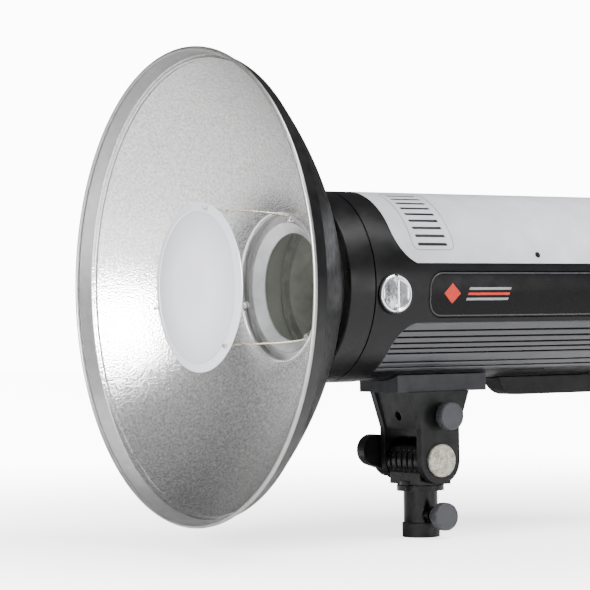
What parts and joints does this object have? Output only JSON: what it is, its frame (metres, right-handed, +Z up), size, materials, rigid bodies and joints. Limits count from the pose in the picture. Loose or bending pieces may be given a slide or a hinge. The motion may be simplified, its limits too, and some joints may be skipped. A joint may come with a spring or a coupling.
{
  "type": "studio flash head",
  "caption": "Studio flash head with a silver beauty dish and deflector, on a tilting umbrella bracket with a stand socket and a rear handle.",
  "frame": {"origin": "centre of the stand socket's mouth, on the axis of the light stand", "axes": "+Z up the stand, -Y the way the lamp shines at rest, +X the side with the release knob and the clamp knobs"},
  "size_m": [0.41, 0.5076, 0.432],
  "materials": {
    "receiver_paint": "satin black powder coat",
    "ring_plastic": "moulded, matte",
    "machined_steel": "machined, satin",
    "knob_plastic": "moulded, fine texture",
    "lever_plastic": "moulded, matte",
    "bracket_paint": "satin dark grey paint on a casting",
    "slab_paint": "satin dark grey",
    "cap_metal": "mottled, galvanised",
    "sheet_metal": "plain sheet",
    "ring_black": "satin black",
    "shell_black": "satin black, fine texture",
    "cover_light": "satin light silver grey",
    "black_paint": "satin black",
    "label_gloss": "gloss black",
    "bezel_black": "gloss black",
    "knob_silver": "silver, turned",
    "pan_grey": "dull, heat darkened",
    "tube_glass": "frosted quartz",
    "ceramic_white": "matt ceramic",
    "lamp_glass": "frosted",
    "capacitor_sleeve": "heat shrink sleeve",
    "clamp_plastic": "moulded",
    "board_green": "solder mask",
    "coil_winding": "varnished copper wire",
    "panel_black": "fine texture",
    "window_dark": "smoked window",
    "sensor_red": "translucent red",
    "socket_black": "moulded",
    "switch_black": "gloss black",
    "dial_black": "moulded, matte",
    "button_red": "gloss red",
    "handle_rubber": "soft grip rubber",
    "dish_silver": "hammered, bright inside",
    "rim_bright": "rolled edge",
    "neck_silver": "spun, satin",
    "deflector_frost": "frosted white",
    "wire_steel": "drawn spring wire"
  },
  "bodies": {
    "stand": {"stand_receiver": "receiver_paint", "socket_ring": "ring_plastic", "friction_washers": "machined_steel"},
    "stand_clamp": {"stand_knob": "knob_plastic", "stand_screw": "machined_steel"},
    "tilt_clamp": {"tilt_lever": "lever_plastic", "lever_nut": "machined_steel"},
    "head": {"bracket": "bracket_paint", "pivot_bolt": "machined_steel", "pivot_cap": "cap_metal", "mount_slab": "slab_paint", "slab_screws": "machined_steel", "chassis_plate": "sheet_metal", "front_ring": "ring_black", "bayonet_ring": "machined_steel", "front_bulkhead": "sheet_metal", "lower_shell": "shell_black", "top_cover": "cover_light", "cover_screws": "black_paint", "label_panel_right": "label_gloss", "label_panel_left": "label_gloss", "knob_bezel": "bezel_black", "reflector_pan": "pan_grey", "flash_tube": "tube_glass", "tube_base": "ceramic_white", "modelling_lamp": "lamp_glass", "lamp_socket": "ceramic_white", "heat_baffle": "sheet_metal", "capacitor_bank": "capacitor_sleeve", "capacitor_clamp": "clamp_plastic", "main_board": "board_green", "trigger_coil": "coil_winding", "fan_frame": "clamp_plastic", "rear_bezel": "ring_black", "rear_panel": "panel_black", "display_window": "window_dark", "slave_sensor": "sensor_red", "sync_jack": "socket_black", "fuse_holder": "socket_black", "mains_inlet": "socket_black", "rear_handle": "handle_rubber"},
    "umbrella_clamp": {"umbrella_knob": "knob_plastic", "umbrella_screw": "machined_steel"},
    "release": {"release_knob": "knob_silver", "release_cam": "machined_steel"},
    "dish_lock": {"lock_pin": "clamp_plastic"},
    "fan": {"fan_rotor": "clamp_plastic"},
    "rocker": {"power_switch": "switch_black"},
    "power_control": {"power_dial": "dial_black"},
    "lamp_control": {"lamp_dial": "dial_black"},
    "test_key": {"test_button": "button_red"},
    "lamp_key": {"lamp_button": "button_red"},
    "dish": {"dish_bowl": "dish_silver", "rim_bead": "rim_bright", "dish_neck": "neck_silver", "aperture_plate": "neck_silver", "deflector": "deflector_frost", "support_wires": "wire_steel", "wire_screws": "machined_steel"}
  },
  "joints": [
    {"name": "head_tilt", "type": "hinge", "parent": "stand", "child": "head", "pos_m": [0, 0, 0.07], "axis": [1, 0, 0], "range_deg": [-90, 65]},
    {"name": "stand_knob_turn", "type": "hinge", "parent": "stand", "child": "stand_clamp", "pos_m": [0.03, 0, 0.02], "axis": [1, 0, 0], "range_deg": [0, 270]},
    {"name": "tilt_lever_turn", "type": "hinge", "parent": "head", "child": "tilt_clamp", "pos_m": [-0.04, 0, 0.07], "axis": [1, 0, 0], "range_deg": [-100, 0]},
    {"name": "umbrella_knob_turn", "type": "hinge", "parent": "head", "child": "umbrella_clamp", "pos_m": [0.04, 0.0035, 0.11], "axis": [1, 0, 0], "range_deg": [0, 270]},
    {"name": "dish_twist", "type": "hinge", "parent": "head", "child": "dish", "pos_m": [0, -0.134, 0.227], "axis": [0, 1, 0], "range_deg": [0, 25]},
    {"name": "release_turn", "type": "hinge", "parent": "head", "child": "release", "pos_m": [0.085, -0.0835, 0.219], "axis": [1, 0, 0], "range_deg": [-90, 0]},
    {"name": "lock_slide", "type": "slide", "parent": "head", "child": "dish_lock", "axis": [0, 1, 0], "range_m": [0, 0.004]},
    {"name": "fan_spin", "type": "hinge", "parent": "head", "child": "fan", "pos_m": [0, 0.166, 0.227], "axis": [0, 1, 0], "continuous": true},
    {"name": "rocker_tip", "type": "hinge", "parent": "head", "child": "rocker", "pos_m": [-0.048, 0.1986, 0.203], "axis": [1, 0, 0], "range_deg": [0, 14]},
    {"name": "power_dial_turn", "type": "hinge", "parent": "head", "child": "power_control", "pos_m": [0.044, 0.2016, 0.265], "axis": [0, 1, 0], "range_deg": [-140, 140]},
    {"name": "lamp_dial_turn", "type": "hinge", "parent": "head", "child": "lamp_control", "pos_m": [0.056, 0.2016, 0.233], "axis": [0, 1, 0], "range_deg": [-140, 140]},
    {"name": "test_button_push", "type": "slide", "parent": "head", "child": "test_key", "axis": [0, -1, 0], "range_m": [0, 0.0015], "stiffness_N_per_m": 400, "springref_m": -0.0005},
    {"name": "lamp_button_push", "type": "slide", "parent": "head", "child": "lamp_key", "axis": [0, -1, 0], "range_m": [0, 0.0015], "stiffness_N_per_m": 400, "springref_m": -0.0005}
  ],
  "couplings": [
    {"joint": "lock_slide", "follows": "release_turn", "m_per_rad": -0.0025465}
  ]
}
